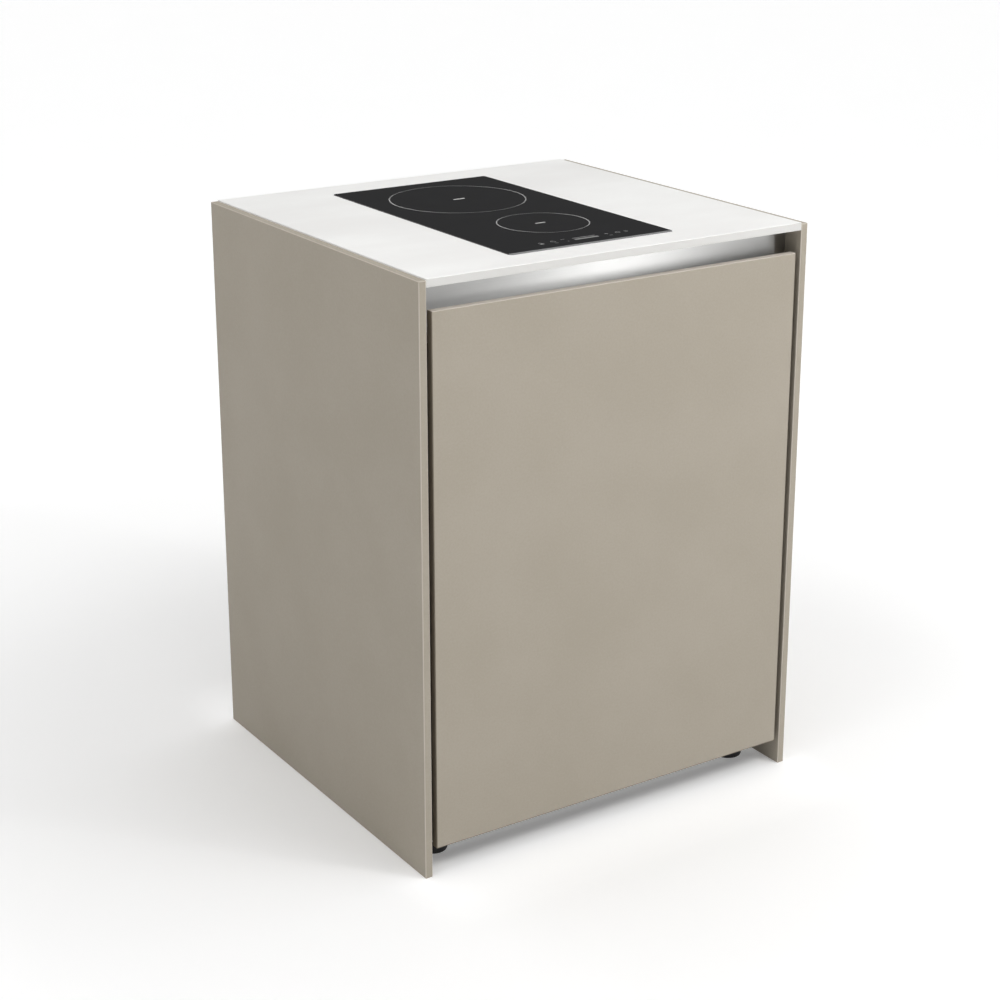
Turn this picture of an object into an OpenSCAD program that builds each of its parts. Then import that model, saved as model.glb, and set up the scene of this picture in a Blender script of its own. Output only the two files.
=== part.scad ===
// Mini kitchen unit: a free-standing block with a two-zone hob, one pull-out
// front under a steel finger channel, and two boxes on telescopic runners.
// The origin is the centre of the footprint on the floor. X points right,
// the front faces -Y and Z points up.

/* [Unit] */
// Overall width
unit_w = 684; // [660:1:900]
// Overall depth
unit_d = 636; // [615:1:680]
// Height of the worktop's surface above the floor
unit_h = 900; // [860:1:950]
// Thickness of the two outer side panels
panel_t = 12; // [10:0.5:19]
// Bevel along the edges of panels, front and worktop
edge_bevel = 0.8; // [0.4:0.1:2]

/* [Worktop] */
// Thickness of the worktop
top_t = 12; // [10:0.5:20]
// Height that the worktop stands above the side panels
top_proud = 2; // [0:0.5:3]

/* [Front] */
// Thickness of the front panel
front_t = 12; // [10:0.5:19]
// Gap between the front and each side panel
front_gap = 8; // [3:0.5:10]
// Height of the front's lower edge above the floor
front_foot = 43; // [36:1:46]
// Height of the finger gap between the worktop and the front
grip_h = 34; // [25:1:45]
// Distance that the front stands back from the worktop's edge
front_set = 1; // [0:0.5:4]
// Gap between the front and the cabinet behind it
front_clear = 2.5; // [1.5:0.5:4]

/* [Finger channel] */
// Distance of the channel's steel wall behind the worktop's edge
channel_back = 36; // [32:1:38]
// Depth of the channel below the front's upper edge
channel_drop = 36; // [28:1:45]
// Thickness of the folded steel sheet
sheet_t = 1.5; // [1:0.1:2]
// Inner radius of the channel's lower curve
channel_r = 14; // [6:1:16]
// Height of the stiffening lip under the channel
channel_lip = 12; // [8:1:20]

/* [Cabinet] */
// Thickness of the cabinet's boards
board_t = 16; // [16:1:19]
// Height of the cabinet's floor board above the ground
floor_z = 50; // [48:1:58]
// Thickness of the back panel
back_t = 12; // [10:1:19]
// Height of the rails under the worktop
rail_h = 60; // [45:1:80]
// Thickness of the front rail
front_rail_t = 10; // [8:0.5:12]
// Thickness of the board that shields the boxes from the hob
shield_t = 8; // [6:1:12]
// Distance of the shield below the hob's casing
shield_gap = 31; // [25:1:40]
// Number of air slots in the back panel
vent_count = 9; // [5:1:13]
// Radius of the cable outlet's bore in the back panel
outlet_r = 20; // [15:1:25]

/* [Boxes] */
// Thickness of the box walls
wall_t = 12; // [10:0.5:16]
// Thickness of the box bases
base_t = 8; // [6:0.5:12]
// Depth of the boxes from front to back
box_d = 500; // [480:5:520]
// Height of the lower box's underside above the floor
lower_z = 80; // [76:1:100]
// Height of the lower box's walls
lower_h = 250; // [120:5:300]
// Height of the upper box's underside above the floor
upper_z = 430; // [410:5:480]
// Height of the upper box's walls
upper_h = 210; // [100:5:260]

/* [Runners] */
// Length of the runners
runner_l = 490; // [470:5:500]
// Height of a runner's profile
runner_h = 45.7; // [40:0.1:50]
// Thickness of a closed runner
runner_w = 12.7; // [12.2:0.1:13.2]
// Thickness of the runners' rolled steel
strip_t = 1.2; // [1:0.1:1.3]
// Diameter of the steel balls
ball_d = 4; // [3.8:0.1:4.4]
// Number of balls in a row
ball_count = 8; // [4:1:9]
// Distance from ball to ball
ball_pitch = 28; // [12:1:30]
// Travel of the pull-out
travel = 450; // [350:10:460]

/* [Hob] */
// Width of the hob's glass
hob_w = 288; // [280:1:300]
// Distance of the glass's front edge behind the worktop's edge
hob_front = 56; // [44:0.5:60]
// Distance of the glass's rear edge from the worktop's rear edge
hob_rear = 64; // [56:0.5:70]
// Thickness of the glass
glass_t = 4; // [4:0.5:6]
// Height that the glass stands above the worktop
glass_proud = 1; // [0.5:0.1:2]
// Gap round the glass in the worktop's rebate
glass_gap = 1; // [0.5:0.1:2]
// Place of the hob's centre to the right of the unit's centre
hob_x = -14; // [-60:1:60]
// Radius of the glass's corners
glass_r = 6; // [2:0.5:10]
// Width of the ground facet along the front of the glass
facet_w = 5; // [2:0.5:8]
// Thickness of the sealing strip under the glass
seal_t = 1; // [0.8:0.1:2]
// Width of the worktop that the glass covers at each side
hob_lap = 10; // [8:0.5:14]
// Height of the steel casing under the glass
tray_h = 50; // [48:1:60]
// Outer radius of the rear coil
rear_coil_r = 95; // [85:1:100]
// Outer radius of the front coil
front_coil_r = 64; // [55:1:75]
// Height of the coil windings
coil_h = 5; // [3:0.5:6]
// Number of blades on the cooling fan
blade_count = 24; // [14:1:30]
// Radius of the fan's blade ring
fan_r = 32; // [28:1:34]
// Number of fins on the heat sink
fin_count = 10; // [6:1:13]

/* [Feet] */
// Radius of the foot pads
pad_r = 23; // [18:1:24]
// Height of the foot pads
pad_h = 14; // [10:1:16]
// Radius of the feet's studs
stud_r = 5; // [4:0.5:6]
// Distance of the feet's centres from the inner face of the side panels
foot_in = 45; // [30:1:60]
// Distance of the feet's centres from the unit's front and back
foot_deep = 75; // [50:1:90]
// Height that a foot can be wound up
foot_up = 8; // [4:1:9]

/* [Hidden] */
$fn = 64;

// Colours
greige = [0.62, 0.58, 0.52];
graphite = [0.17, 0.17, 0.17];
steel = [0.72, 0.73, 0.74];
plastic = [0.1, 0.1, 0.1];

// The unit's planes
inner_x = unit_w / 2 - panel_t;
front_y = -unit_d / 2;
back_y = unit_d / 2;
top_z = unit_h - top_t;
panel_top = unit_h - top_proud;
glass_z = unit_h + glass_proud - glass_t;
rebate_z = glass_z - seal_t;
// The front
front_top = top_z - grip_h;
front_face = front_y + front_set;
front_back = front_face + front_t;
// The cabinet behind it
carcass_y = front_back + front_clear;
carcass_end = back_y - back_t;
carcass_x = inner_x - board_t;
channel_y = front_y + channel_back;
channel_z = front_top - channel_drop;
channel_flange = 22;
notch_y = channel_y + sheet_t;
notch_z = channel_z - channel_lip;
hob_d = unit_d - hob_front - hob_rear;
hob_y = front_y + hob_front + hob_d / 2;
tray_z = glass_z - tray_h;
shield_top = tray_z - shield_gap;
shield_y = hob_y + hob_d / 2;
cleat_w = 20;
bracket_leg = 30;
bracket_t = 2;
bracket_y = [-0.3 * unit_d, 0.3 * unit_d];
vent_w = 8;
vent_h = 40;
vent_pitch = (unit_w - 2 * panel_t) / (vent_count + 8);
vent_z = tray_z - 12;
outlet_in = 130;
outlet_x = inner_x - outlet_in;
outlet_z = 0.78 * unit_h;
outlet_wall = 2.5;
outlet_lip = 5;
collar_t = 2;

// Screws: shank radius, head radius, head height, and the play of their holes
shank_r = 2.1;
head_r = 4.4;
head_h = 2.6;
hole_play = 0.1;
panel_bite = 8;
carcass_screw_l = 50;
bracket_bite = 8;
bracket_screw_in = 19;
runner_screw_l = 13;
box_screw_l = wall_t - 2;
carcass_screw_y = [-0.32 * unit_d, 0, 0.32 * unit_d];
back_screw_z = [0.12 * unit_h, 0.5 * unit_h, 0.88 * unit_h];
panel_screw_y = [-0.24 * unit_d, 0.4 * unit_d];
panel_screw_z = [0.42 * unit_h, 0.78 * unit_h];
runner_screw_at = [0.09, 0.5, 0.94];
front_screw_x = [-0.3 * unit_w, 0.3 * unit_w];
front_skin = 4;

// Boxes
box_x = carcass_x - runner_w;
box_in = box_x - wall_t;
box_end = front_back + box_d;
base_up = 12;
groove = 5;
groove_play = 0.1;
joint_gap = 0.02;

// Runners. The sheet of the middle member runs in an S between the two rows of balls:
// u counts from the cabinet's side, w from the middle of the profile's height.
race_r = ball_d / 2 + 0.05;
cage_t = 0.4;
cage_room = 0.75;
mid_u = strip_t + cage_room;
row1_u = mid_u + strip_t + race_r;
row1_w = runner_h / 2 - strip_t - race_r;
row2_u = runner_w - strip_t - race_r;
row_step = 2 * race_r + strip_t;
row2_w = row1_w - sqrt(row_step * row_step - pow(row2_u - row1_u, 2));
s_angle = atan2(row1_w - row2_w, row2_u - row1_u);
lip_angle = 25;
hump_angle = 35;
s_start = 250;
s_lap = 2;
inner_start = 215;
runner_front = carcass_y + 2;
runner_up = 45;
runner_z = [lower_z + runner_up, upper_z + runner_up];
relief_play = 1;
cage_mid = runner_front + runner_l / 2;
cage_l = ball_count * ball_pitch;
// The outer cage lies flat against the webs, the inner one passes under the S
cage_gap = 0.3;
cage_arm = 0.3 * ball_d;
cage1_u = strip_t + (cage_room - cage_t) / 2;
cage2_u = mid_u + strip_t + cage_gap;
cage2_w = row1_w - race_r - strip_t - cage_gap;
pocket_play = 0.1;

// Hob
cut_w = hob_w - 2 * hob_lap;
cut_d = hob_d - 2 * hob_lap;
cut_r = 5;
tray_play = 3;
tray_w = cut_w - 2 * tray_play;
tray_d = cut_d - 2 * tray_play;
tray_t = 1;
tray_rim = 8;
tray_in = tray_z + tray_t;
plate_t = 1.5;
ferrite_h = 5;
carrier_h = 2;
mica_gap = 3;
plate_z = glass_z - mica_gap - coil_h - carrier_h - ferrite_h - plate_t;
plate_w = tray_w - 12;
plate_y = [-0.375 * hob_d, 0.44 * hob_d];
// What lies under each zone: its place and the radius of its coil
zones = [[[6, 0.208 * hob_d], rear_coil_r], [[12, -0.21 * hob_d], front_coil_r]];
carrier_rim = 4;
ferrite_w = 12;
sensor_r = 6;
coil_eye = 0.3;
post_r = 4;
post_in = 8;
standoff_r = 3;
board_z = tray_in + 6;
board_w = 0.86 * tray_w;
board_y = [-0.31 * hob_d, 0.17 * hob_d];
sink_w = 80;
sink_y = [-0.24 * hob_d, 0.12 * hob_d];
sink_top = plate_z - 2.5;
sink_base = 5;
fin_t = 2;
fan_at = [-60, tray_d / 2 - 75];
fan_wall = 2;
scroll_r = fan_r + 5;
scroll_l = scroll_r + 12;
fan_plate = 1.5;
fan_top = plate_z - 7;
motor_r = 14;
motor_up = 10;
shaft_end = 2;
shaft_r = 1.5;
shaft_play = 0.05;
cup_play = 1;
cup_t = 1.6;
cup_up = 3;
hub_gap = 5;
fan_rim_w = 1.5;
fan_rim_h = 2;
fan_lift = 2;
blade_t = 0.9;
blade_arc_r = 7;
inlet_r = fan_r - 6;
touch_w = 180;
touch_d = 26;
touch_gap = 0.3;
touch_rim_gap = 2.4;
touch_y = tray_rim + touch_rim_gap + (touch_d - tray_d) / 2;
touch_rest = 4;
touch_frame_h = 6;
pcb_t = 1.6;
gland_at = [85, tray_d / 2 - 25];
gland_r = 9;
gland_nut_r = 12;
gland_nut_h = 5;
gland_bore = 5;
gland_l = 16;
block_at = [gland_at.x, gland_at.y - 42];
block_w = 50;
block_d = 18;
wire_pitch = 9;
wire_r = 2;
terminal_r = 2.6;
terminal_deep = 7;
wire_up = 6;
seal_in = 1.5;
seal_out = 1;
inlet_pitch = 7;
inlet_slot = 3.5;
louvre = [4, 4, 18];
louvre_count = 12;
louvre_up = 16;
// Parts on the power board: capacitors, relays and a choke
cap_r = 11;
cap_h = 17;
cap_pitch = 34;
relay = [26, 20, 15];
relay_pitch = 40;
choke_r = 15;
choke_eye = 6;
choke_h = 12;
parts_in = 30;
choke_in = 45;
clamp_y = [-0.3 * hob_d, 0.3 * hob_d];
clamp_w = 24;
clamp_t = 1.2;
clamp_leg = 26;
clamp_reach = 9;

// Feet
foot_x = inner_x - foot_in;
foot_y = back_y - foot_deep;
foot_play = 0.05;
socket_r = 14;
socket_plate = 4;
socket_w = 2 * min(foot_in - 4, 26);
socket_bottom = pad_h + foot_up + 4;
stud_sunk = 10;
pad_rim = 3;
pad_bevel = 1;
nut_r = stud_r + 4;
nut_h = 3.5;
stud_top = floor_z - 4;

// Solids between two corners, and profiles carried along an axis
module block(lo, hi) {
  translate(lo) cube(hi - lo);
}
module along_x(x0, x1) {
  translate([x0, 0, 0]) rotate([90, 0, 90]) linear_extrude(x1 - x0) children();
}
module along_y(y0, y1) {
  translate([0, y1, 0]) rotate([90, 0, 0]) linear_extrude(y1 - y0) children();
}
module along_z(z0, z1) {
  translate([0, 0, z0]) linear_extrude(z1 - z0) children();
}
module bevel_rect(a0, b0, a1, b1, c) {
  polygon([[a0 + c, b0], [a1 - c, b0], [a1, b0 + c], [a1, b1 - c],
    [a1 - c, b1], [a0 + c, b1], [a0, b1 - c], [a0, b0 + c]]);
}
module beveled(lo, hi, c = edge_bevel) {
  intersection() {
    along_x(lo.x, hi.x) bevel_rect(lo.y, lo.z, hi.y, hi.z, c);
    along_y(lo.y, hi.y) bevel_rect(lo.x, lo.z, hi.x, hi.z, c);
    along_z(lo.z, hi.z) bevel_rect(lo.x, lo.y, hi.x, hi.y, c);
  }
}
module round_rect(w, d, r) {
  square([w - 2 * r, d], center = true);
  square([w, d - 2 * r], center = true);
  for (x = [-1, 1], y = [-1, 1])
    translate([x * (w / 2 - r), y * (d / 2 - r)]) circle(r);
}
function polar(r, a) = [r * cos(a), r * sin(a)];
module arc_strip(c, r, t, a0, a1) {
  far = 4 * (r + t);
  translate(c) intersection() {
    difference() {
      circle(r + t);
      circle(r);
    }
    polygon(concat([[0, 0]], [for (k = [0:4]) polar(far, a0 + k * (a1 - a0) / 4)]));
  }
}

// What is drawn for the right side, mirrored when it belongs to the left
module on_side(side) {
  mirror([side > 0 ? 0 : 1, 0, 0]) children();
}
// A pan-head screw along +X from the origin, with its head on the -X side
module pan_screw(l, play = 0) {
  rotate([0, 90, 0]) cylinder(r = shank_r + play, h = l);
  rotate([0, -90, 0]) cylinder(r = head_r, h = head_h);
}
// A countersunk screw along +X whose flat head lies at the origin
module flat_screw(l, play = 0) {
  rotate([0, 90, 0]) cylinder(r = shank_r + play, h = l);
  rotate([0, 90, 0]) cylinder(r1 = head_r - 0.6 + play, r2 = shank_r + play, h = 2);
}

// Side panels: finished boards that stand on the floor and flank the worktop
module side_panel(side) {
  x0 = side > 0 ? inner_x : -unit_w / 2;
  color(greige) difference() {
    beveled([x0, front_y, 0], [x0 + panel_t, back_y, panel_top]);
    on_side(side) panel_screw_set(hole_play);
  }
}

// Worktop: a slab between the side panels with a cut-out for the hob, and a rebate
// round it in which the glass lies
module worktop() {
  color([0.95, 0.95, 0.94]) difference() {
    beveled([-inner_x, front_y, top_z], [inner_x, back_y, unit_h]);
    at_hob() along_z(top_z - 1, unit_h + 1) round_rect(cut_w, cut_d, cut_r);
    at_hob() along_z(rebate_z, unit_h + 1)
      round_rect(hob_w + 2 * glass_gap, hob_d + 2 * glass_gap, glass_r + glass_gap);
    for (side = [-1, 1]) on_side(side) bracket_screw_set(hole_play);
  }
}

// Back panel with a row of air slots and the hole of the cable outlet
module back_panel() {
  color(greige) difference() {
    beveled([-inner_x, carcass_end, front_foot], [inner_x, back_y, top_z]);
    for (k = [0:vent_count - 1])
      translate([(k - (vent_count - 1) / 2) * vent_pitch, 0, vent_z])
        along_y(carcass_end - 1, back_y + 1) round_rect(vent_w, vent_h, vent_w / 2 - 0.01);
    translate([outlet_x, 0, outlet_z]) along_y(carcass_end - 1, back_y + 1)
      circle(outlet_r + outlet_wall + hole_play);
    translate([outlet_x, 0, outlet_z]) along_y(back_y - collar_t, back_y + 1)
      circle(outlet_r + outlet_wall + outlet_lip + hole_play);
    for (side = [-1, 1]) on_side(side) back_screw_set(hole_play);
  }
}

// Liner of the cable outlet: a tube with a collar let into the panel's outer face
module cable_grommet() {
  color(plastic) translate([outlet_x, 0, outlet_z]) difference() {
    union() {
      along_y(carcass_end, back_y) circle(outlet_r + outlet_wall);
      along_y(back_y - collar_t, back_y) circle(outlet_r + outlet_wall + outlet_lip);
    }
    along_y(carcass_end - 1, back_y + 3) circle(outlet_r);
  }
}

// Finger channel: one folded sheet, with a flange under the worktop, a wall,
// a curve at its foot and a lip that stiffens its front edge
module finger_channel() {
  wall_in = channel_y;
  floor_in = channel_z + sheet_t;
  color(steel) along_x(-inner_x, inner_x) {
    translate([wall_in - channel_flange, top_z - sheet_t])
      square([channel_flange + sheet_t, sheet_t]);
    translate([wall_in, floor_in + channel_r]) square([sheet_t, top_z - floor_in - channel_r]);
    arc_strip([wall_in - channel_r, floor_in + channel_r], channel_r, sheet_t, 270, 360);
    translate([carcass_y, channel_z]) square([wall_in - channel_r - carcass_y, sheet_t]);
    translate([carcass_y, notch_z]) square([sheet_t, channel_lip + sheet_t]);
  }
}

// Cabinet sides: notched at the top front for the finger channel
module carcass_side(side) {
  color(graphite) difference() {
    on_side(side) along_x(carcass_x, inner_x) polygon([[carcass_y, floor_z],
      [carcass_end, floor_z], [carcass_end, top_z], [notch_y, top_z], [notch_y, notch_z],
      [carcass_y, notch_z]]);
    on_side(side) {
      side_screws(hole_play);
      panel_screw_set(hole_play);
      bracket_screw_set(hole_play);
      back_screw_set(hole_play);
    }
    for (z = runner_z) runner_place(side, z) cabinet_screws(hole_play);
  }
}

// Screws from the outer face of the right side into the floor and the rear rail
module side_screws(play = 0) {
  for (y = carcass_screw_y)
    translate([inner_x, y, floor_z + board_t / 2]) mirror([1, 0, 0])
      flat_screw(carcass_screw_l, play);
  translate([inner_x, carcass_end - board_t / 2, top_z - rail_h / 2]) mirror([1, 0, 0])
    flat_screw(carcass_screw_l, play);
}
// Screws of the same length through the back panel into the rear edge of the right side
module back_screw_set(play = 0) {
  for (z = back_screw_z) translate([inner_x - board_t / 2, back_y, z]) rotate([0, 0, -90])
    flat_screw(carcass_screw_l, play);
}
module carcass_screws() {
  color(steel) for (side = [-1, 1]) on_side(side) {
    side_screws();
    back_screw_set();
  }
}
// Screws from inside the cabinet into the right side panel
module panel_screw_set(play = 0) {
  for (y = panel_screw_y, z = panel_screw_z)
    translate([carcass_x, y, z]) pan_screw(board_t + panel_bite, play);
}
module panel_screws() {
  color(steel) for (side = [-1, 1]) on_side(side) panel_screw_set();
}

// Floor board, with a well over each foot's stud
module carcass_floor() {
  color(graphite) difference() {
    block([-carcass_x, carcass_y, floor_z], [carcass_x, carcass_end, floor_z + board_t]);
    for (side = [-1, 1]) on_side(side) side_screws(hole_play);
    for (x = [-1, 1], y = [-1, 1])
      translate([x * foot_x, y * foot_y, floor_z - 1]) cylinder(r = stud_r + 1, h = foot_up + 1);
  }
}

module front_rail() {
  color(graphite)
    block([-carcass_x, notch_y, top_z - rail_h], [carcass_x, notch_y + front_rail_t, top_z]);
}
module rear_rail() {
  color(graphite) difference() {
    block([-carcass_x, carcass_end - board_t, top_z - rail_h], [carcass_x, carcass_end, top_z]);
    for (side = [-1, 1]) on_side(side) side_screws(hole_play);
  }
}

// Shield between the hob and the boxes, open behind for the hob's cable
module hob_shield() {
  color([0.55, 0.55, 0.53]) block([-carcass_x, notch_y + front_rail_t, shield_top - shield_t],
    [carcass_x, shield_y, shield_top]);
}
module shield_cleats() {
  z = shield_top - shield_t;
  color(graphite) for (side = [-1, 1]) on_side(side) block(
    [carcass_x - cleat_w, notch_y + front_rail_t, z - cleat_w], [carcass_x, shield_y, z]);
}

// Steel angles that hold the worktop down to the cabinet's sides
module worktop_brackets() {
  leg = bracket_leg;
  t = bracket_t;
  color(steel) for (side = [-1, 1]) on_side(side) difference() {
    for (y = bracket_y) translate([carcass_x, y, top_z]) along_y(-leg / 2, leg / 2)
      polygon([[0, 0], [0, -leg], [-t, -leg], [-t, -t], [-leg, -t], [-leg, 0]]);
    bracket_screw_set(hole_play);
  }
}
// One screw of each right angle goes into the side, one up into the worktop
module bracket_screw_set(play = 0) {
  for (y = bracket_y) {
    translate([carcass_x - bracket_t, y, top_z - bracket_screw_in])
      pan_screw(bracket_t + bracket_bite, play);
    translate([carcass_x - bracket_screw_in, y, top_z - bracket_t]) rotate([0, -90, 0])
      pan_screw(bracket_t + bracket_bite, play);
  }
}
module bracket_screws() {
  color(steel) for (side = [-1, 1]) on_side(side) bracket_screw_set();
}

// Feet: a socket under the floor board, and a stud on a round pad that winds in it
module foot_sockets() {
  color(plastic) for (x = [-1, 1], y = [-1, 1]) translate([x * foot_x, y * foot_y, 0])
    difference() {
      union() {
        along_z(floor_z - socket_plate, floor_z) round_rect(socket_w, socket_w, 6);
        along_z(socket_bottom, floor_z - socket_plate) circle(socket_r);
      }
      along_z(socket_bottom - 1, floor_z + 1) circle(stud_r + foot_play);
    }
}
module foot(x, y) {
  translate([x * foot_x, y * foot_y, 0]) {
    color(plastic) rotate_extrude() difference() {
      union() {
        translate([0, pad_rim]) square([pad_r, pad_h - pad_rim - pad_bevel]);
        square([pad_r - pad_rim, pad_h]);
        translate([pad_r - pad_rim, pad_rim]) circle(pad_rim);
        polygon([[0, pad_h], [pad_r - pad_bevel, pad_h], [pad_r, pad_h - pad_bevel],
          [0, pad_h - pad_bevel]]);
      }
      translate([0, pad_h - stud_sunk]) square([stud_r + foot_play, stud_sunk + 1]);
      translate([-pad_r, -1]) square([pad_r, pad_h + 2]);
    }
    color(steel) translate([0, 0, foot_play]) {
      translate([0, 0, pad_h - stud_sunk])
        cylinder(r = stud_r, h = stud_top - pad_h + stud_sunk - foot_play);
      translate([0, 0, pad_h]) cylinder(r = nut_r, h = nut_h, $fn = 6);
    }
  }
}

// Pull-out front
module front_panel() {
  color(greige) difference() {
    beveled([-inner_x + front_gap, front_face, front_foot],
      [inner_x - front_gap, front_back, front_top]);
    front_screw_set(hole_play);
  }
}
module front_screw_set(play = 0) {
  for (x = front_screw_x, z = [lower_z + 0.25 * lower_h, lower_z + 0.8 * lower_h,
      upper_z + 0.25 * upper_h, upper_z + 0.8 * upper_h])
    translate([x, front_back + wall_t, z]) rotate([0, 0, -90])
      pan_screw(wall_t + front_t - front_skin, play);
}
module front_screws() {
  color(steel) front_screw_set();
}

// A box: two sides, a front and a back of grooved board, on a base in the grooves
module box_walls(z, h) {
  base_z = z + base_up;
  color([0.8, 0.74, 0.64]) difference() {
    union() {
      for (side = [-1, 1]) on_side(side)
        block([box_in, front_back, z], [box_x, box_end, z + h]);
      box_cross(front_back, z, h);
      box_cross(box_end - wall_t, base_z + base_t + groove_play,
        h - base_up - base_t - groove_play);
    }
    block([-box_in - groove - groove_play, front_back + wall_t - groove - groove_play,
      base_z - groove_play], [box_in + groove + groove_play, box_end + 1,
      base_z + base_t + groove_play]);
    front_screw_set(hole_play);
    for (side = [-1, 1]) runner_place(side, z + runner_up) box_screws(hole_play);
  }
}
module box_cross(y, z, h) {
  block([-box_in + joint_gap, y, z], [box_in - joint_gap, y + wall_t, z + h]);
}
module box_base(z) {
  color([0.84, 0.79, 0.7]) block([-box_in - groove, front_back + wall_t - groove, z + base_up],
    [box_in + groove, box_end, z + base_up + base_t]);
}

// Runner profiles in u and w
module both_edges() {
  children();
  mirror([0, 1]) children();
}
module runner_outer_profile() {
  translate([0, -runner_h / 2]) square([strip_t, runner_h]);
  both_edges() {
    translate([0, runner_h / 2 - strip_t]) square([row1_u, strip_t]);
    arc_strip([row1_u, row1_w], race_r, strip_t, lip_angle, 90);
  }
}
module runner_middle_profile() {
  web = row1_w - race_r;
  translate([mid_u, -web]) square([strip_t, 2 * web]);
  both_edges() {
    translate([mid_u, web - strip_t]) square([row1_u - mid_u, strip_t]);
    arc_strip([row1_u, row1_w], race_r, strip_t, s_start, 360 - s_angle + s_lap);
    arc_strip([row2_u, row2_w], race_r, strip_t, hump_angle, 180 - s_angle + s_lap);
  }
}
module runner_inner_profile() {
  translate([runner_w - strip_t, -row2_w]) square([strip_t, 2 * row2_w]);
  both_edges() arc_strip([row2_u, row2_w], race_r, strip_t, inner_start, 360);
}
module outer_cage_profile() {
  translate([cage1_u, -row1_w]) square([cage_t, 2 * row1_w]);
  both_edges() translate([cage1_u, row1_w - cage_t / 2])
    square([row1_u + cage_arm - cage1_u, cage_t]);
}
module inner_cage_profile() {
  translate([cage2_u, -cage2_w]) square([cage_t, 2 * cage2_w]);
  both_edges() translate([cage2_u, cage2_w - cage_t])
    square([row2_u + cage_arm - cage2_u, cage_t]);
}

// Carries a runner's own frame to the cabinet's left or right side
module runner_place(side, z) {
  translate([side * carcass_x, 0, z]) mirror([side > 0 ? 1 : 0, 0, 0]) children();
}
module runner_pair(z) {
  for (side = [-1, 1]) runner_place(side, z) children();
}
module cabinet_screws(play = 0) {
  for (k = runner_screw_at)
    translate([strip_t, runner_front + k * runner_l, 0]) mirror([1, 0, 0])
      flat_screw(strip_t + runner_screw_l, play);
}
module box_screws(play = 0) {
  for (k = runner_screw_at)
    translate([runner_w - strip_t, runner_front + k * runner_l, 0])
      flat_screw(strip_t + box_screw_l, play);
}
module runner_outers(z) {
  color(steel) runner_pair(z) difference() {
    along_y(runner_front, runner_front + runner_l) runner_outer_profile();
    cabinet_screws(hole_play);
  }
}
module runner_middles(z) {
  color(steel) runner_pair(z) difference() {
    along_y(runner_front, runner_front + runner_l) runner_middle_profile();
    for (k = runner_screw_at) translate([mid_u - 1, runner_front + k * runner_l, 0])
      rotate([0, 90, 0]) cylinder(r = head_r + relief_play, h = strip_t + 2);
  }
}
module runner_inners(z) {
  color(steel) runner_pair(z) difference() {
    along_y(runner_front, runner_front + runner_l) runner_inner_profile();
    box_screws(hole_play);
  }
}
// Balls of one row pair, and the pockets that hold them
module ball_rows(u, w, r) {
  for (k = [0:ball_count - 1], s = [-1, 1])
    translate([u, cage_mid + (k - (ball_count - 1) / 2) * ball_pitch, s * w]) sphere(r);
}
module pockets(u, r) {
  for (k = [0:ball_count - 1])
    translate([u, cage_mid + (k - (ball_count - 1) / 2) * ball_pitch, -runner_h / 2])
      cylinder(r = r, h = runner_h);
}
module ball_cages(u, w) {
  color(steel) for (z = runner_z) runner_pair(z) {
    difference() {
      along_y(cage_mid - cage_l / 2, cage_mid + cage_l / 2) children();
      pockets(u, ball_d / 2 + pocket_play);
    }
    ball_rows(u, w, ball_d / 2);
  }
}

module runner_screws_cabinet() {
  color(steel) for (z = runner_z) runner_pair(z) cabinet_screws();
}
module runner_screws_box() {
  color(steel) for (z = runner_z) runner_pair(z) box_screws();
}

// Hob: all that follows is placed from the hob's centre
module at_hob(p = [0, 0]) {
  translate([hob_x + p.x, hob_y + p.y, 0]) children();
}

// Glass with rounded corners and a ground facet along its front edge
module hob_glass() {
  color([0.08, 0.08, 0.09]) at_hob() intersection() {
    along_z(glass_z, glass_z + glass_t) round_rect(hob_w, hob_d, glass_r);
    along_x(-hob_w / 2, hob_w / 2) polygon([[-hob_d / 2, glass_z], [hob_d / 2, glass_z],
      [hob_d / 2, glass_z + glass_t - 1], [hob_d / 2 - 1, glass_z + glass_t],
      [-hob_d / 2 + facet_w, glass_z + glass_t], [-hob_d / 2, glass_z + 0.45 * glass_t]]);
  }
}
module hob_seal() {
  color(plastic) at_hob() along_z(rebate_z, glass_z) difference() {
    round_rect(hob_w - 2 * seal_in, hob_d - 2 * seal_in, glass_r);
    round_rect(cut_w + 2 * seal_out, cut_d + 2 * seal_out, cut_r);
  }
}
// Casing: a folded pan with a rim under the glass, an air inlet and side louvres
module hob_tray() {
  color(steel) at_hob() difference() {
    union() {
      difference() {
        along_z(tray_z, glass_z) square([tray_w, tray_d], center = true);
        along_z(tray_in, glass_z + 1)
          square([tray_w - 2 * tray_t, tray_d - 2 * tray_t], center = true);
      }
      along_z(glass_z - tray_t, glass_z) difference() {
        square([tray_w, tray_d], center = true);
        square([tray_w - 2 * tray_rim, tray_d - 2 * tray_rim], center = true);
      }
    }
    translate(fan_at) for (k = [-3:3]) let (x = k * inlet_pitch) translate([x, 0])
      along_z(tray_z - 1, tray_in + 1)
        square([inlet_slot, 2 * sqrt(inlet_r * inlet_r - x * x) - inlet_slot], center = true);
    for (k = [0:louvre_count - 1])
      translate([(k / (louvre_count - 1) - 0.5) * 0.6 * tray_w, -tray_d / 2, tray_z + louvre_up])
        cube(louvre, center = true);
    translate(gland_at) along_z(tray_z - 1, tray_in + 1) circle(gland_r + hole_play);
  }
}
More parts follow.
